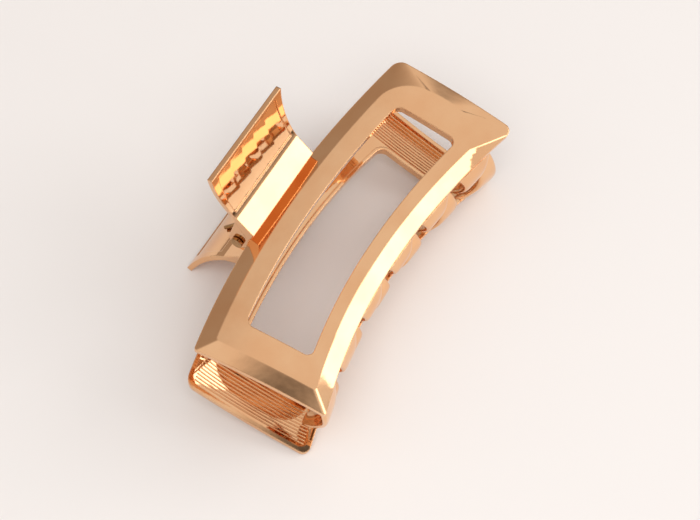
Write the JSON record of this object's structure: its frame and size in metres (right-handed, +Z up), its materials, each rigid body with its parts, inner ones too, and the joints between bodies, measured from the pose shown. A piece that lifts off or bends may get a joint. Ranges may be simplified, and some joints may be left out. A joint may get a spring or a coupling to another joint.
{
  "type": "hair claw clip",
  "caption": "Gold rectangular hair claw clip: two arched open frames with interlacing curved teeth and scooped thumb tabs on a sprung hinge pin.",
  "frame": {"origin": "centre of the closed clip's footprint on the table it lies on", "axes": "+X along the hinge pin, +Y towards the hinge and thumb tabs, -Y towards the teeth, +Z up from the table; the clip lies on its lower thumb tab and lower face, rolled 11.8 degrees about X"},
  "size_m": [0.1098, 0.0684, 0.0564],
  "materials": {
    "gold_plating": "mirror-bright gold plating over moulded plastic",
    "pin_steel": "gold-toned steel pin, tone guessed",
    "spring_steel": "gold-toned spring wire, tone guessed"
  },
  "bodies": {
    "lower_jaw": {"lower_frame": "gold_plating", "lower_tooth_1": "gold_plating", "lower_tooth_2": "gold_plating", "lower_tooth_3": "gold_plating", "lower_tooth_4": "gold_plating", "lower_tooth_5": "gold_plating", "lower_tooth_6": "gold_plating", "lower_thumb_tab": "gold_plating", "lower_outer_lug": "gold_plating", "lower_inner_lug": "gold_plating", "hinge_pin": "pin_steel", "torsion_spring": "spring_steel"},
    "upper_jaw": {"upper_frame": "gold_plating", "upper_tooth_1": "gold_plating", "upper_tooth_2": "gold_plating", "upper_tooth_3": "gold_plating", "upper_tooth_4": "gold_plating", "upper_tooth_5": "gold_plating", "upper_tooth_6": "gold_plating", "upper_thumb_tab": "gold_plating", "upper_outer_lug": "gold_plating", "upper_inner_lug": "gold_plating"}
  },
  "joints": [
    {"name": "jaw_hinge", "type": "hinge", "parent": "lower_jaw", "child": "upper_jaw", "pos_m": [0, 0.01663, 0.02604], "axis": [-1, 0, 0], "range_deg": [0, 130], "stiffness_Nm_per_rad": 0.09, "springref_deg": -74.48, "deforming": ["torsion_spring"]}
  ]
}
